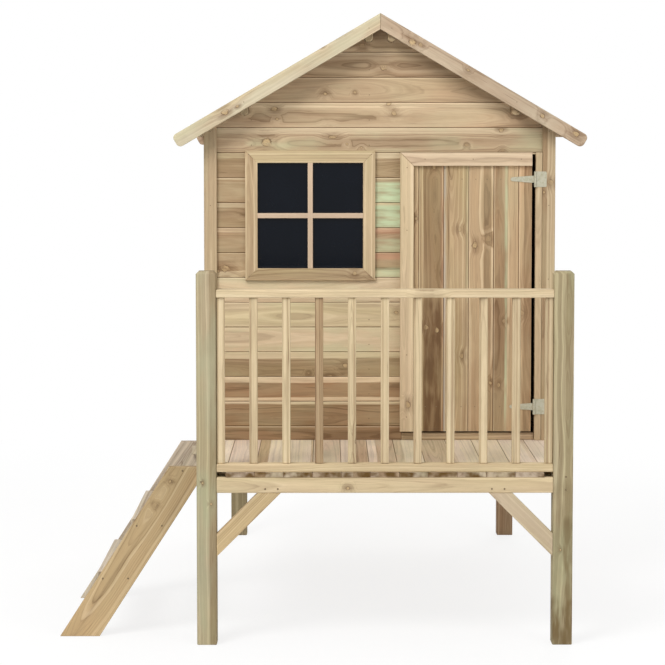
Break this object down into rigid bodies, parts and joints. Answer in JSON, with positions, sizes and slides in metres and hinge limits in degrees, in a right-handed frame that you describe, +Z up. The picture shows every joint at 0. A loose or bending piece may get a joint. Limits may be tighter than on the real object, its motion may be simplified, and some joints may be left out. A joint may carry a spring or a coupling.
{
  "type": "playhouse",
  "caption": "Raised wooden playhouse: a gabled, boarded cabin with a window and a hinged door, on posts behind a veranda with a balustrade and a side ladder.",
  "frame": {"origin": "on the ground, under the middle of the whole object's bounding box, ladder and roof included", "axes": "+Z up; -Y is the front with the balustrade, the window and the door; -X is the ladder's side"},
  "size_m": [1.8936, 2.139, 2.1939],
  "materials": {
    "post": "planed, pressure-treated softwood, unpainted",
    "beam": "planed, pressure-treated softwood, unpainted",
    "deck": "planed, pressure-treated softwood, unpainted",
    "rail": "planed, pressure-treated softwood, unpainted",
    "ladder": "planed, pressure-treated softwood, unpainted",
    "wall": "planed, pressure-treated softwood, unpainted",
    "trim": "planed, pressure-treated softwood, unpainted",
    "pane": "smooth clear sheet, dark in front of the unlit cabin",
    "door": "planed, pressure-treated softwood, unpainted",
    "hinge": "zinc-plated, passivated to a yellowish grey",
    "roof": "planed, pressure-treated softwood, unpainted"
  },
  "bodies": {
    "house": {"front_post_left": "post", "front_post_right": "post", "rear_post_left": "post", "rear_post_right": "post", "front_beam": "beam", "rear_beam": "beam", "left_beam": "beam", "right_beam": "beam", "floor_joist_veranda": "beam", "floor_joist_front": "beam", "floor_joist_rear": "beam", "front_brace_left": "beam", "front_brace_right": "beam", "purlin_ridge_left": "beam", "purlin_ridge_right": "beam", "purlin_eaves_left": "beam", "purlin_eaves_right": "beam", "deck": "deck", "upper_rail": "rail", "lower_rail": "rail", "baluster_01": "rail", "baluster_02": "rail", "baluster_03": "rail", "baluster_04": "rail", "baluster_05": "rail", "baluster_06": "rail", "baluster_07": "rail", "baluster_08": "rail", "baluster_09": "rail", "baluster_10": "rail", "baluster_11": "rail", "ladder_stringer_front": "ladder", "ladder_stringer_rear": "ladder", "ladder_tread_upper": "ladder", "ladder_tread_lower": "ladder", "front_wall": "wall", "rear_wall": "wall", "left_wall": "wall", "right_wall": "wall", "corner_trim_front_left": "trim", "corner_trim_rear_left": "trim", "corner_trim_front_right": "trim", "corner_trim_rear_right": "trim", "window_frame": "trim", "door_jamb_strip": "trim", "door_threshold": "trim", "barge_front_left": "trim", "barge_front_right": "trim", "barge_rear_left": "trim", "barge_rear_right": "trim", "window_pane": "pane", "hinge_plate_upper": "hinge", "hinge_plate_lower": "hinge", "roof_left": "roof", "roof_right": "roof"},
    "door": {"door_leaf": "door", "door_top_strip": "trim", "door_side_strip": "trim", "hinge_strap_upper": "hinge", "hinge_strap_lower": "hinge"}
  },
  "joints": [
    {"name": "door_hinge", "type": "hinge", "parent": "house", "child": "door", "pos_m": [0.76336, -0.3086, 1.1545], "axis": [0, 0, 1], "range_deg": [0, 120]}
  ]
}
